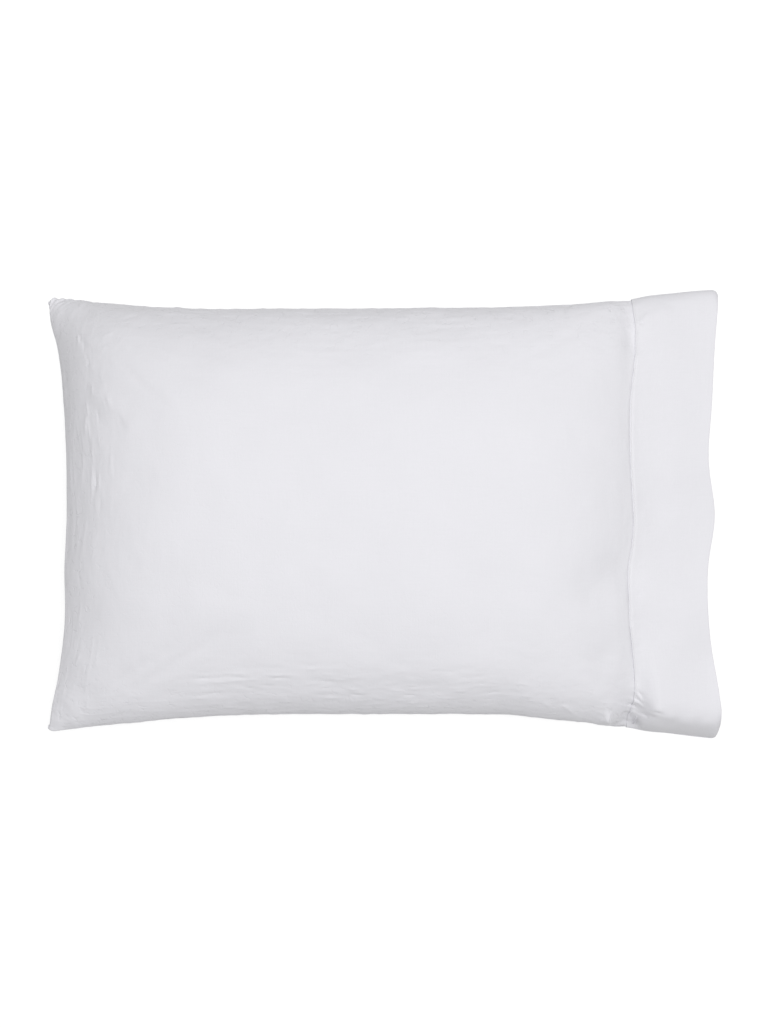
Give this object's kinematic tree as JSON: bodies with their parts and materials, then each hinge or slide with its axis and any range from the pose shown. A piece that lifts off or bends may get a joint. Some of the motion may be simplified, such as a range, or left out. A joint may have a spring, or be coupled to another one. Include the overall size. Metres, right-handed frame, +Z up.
{
  "type": "pillowcase",
  "caption": "Filled pillowcase with a soft crown, drawn-in sides and an open hem cuff at one end, lying on its back.",
  "frame": {"origin": "on the surface the case lies on, under the middle of its overall box", "axes": "+X along the case towards its open mouth, +Y across it towards the far long side, +Z up out of its face"},
  "size_m": [0.799, 0.5335, 0.149],
  "materials": {
    "linen_body": "washed plain-weave linen, matt, optic white",
    "linen_cuff": "washed plain-weave linen, double layer, matt, optic white"
  },
  "bodies": {
    "root": {"case_body": "linen_body", "hem_cuff": "linen_cuff"}
  },
  "joints": []
}
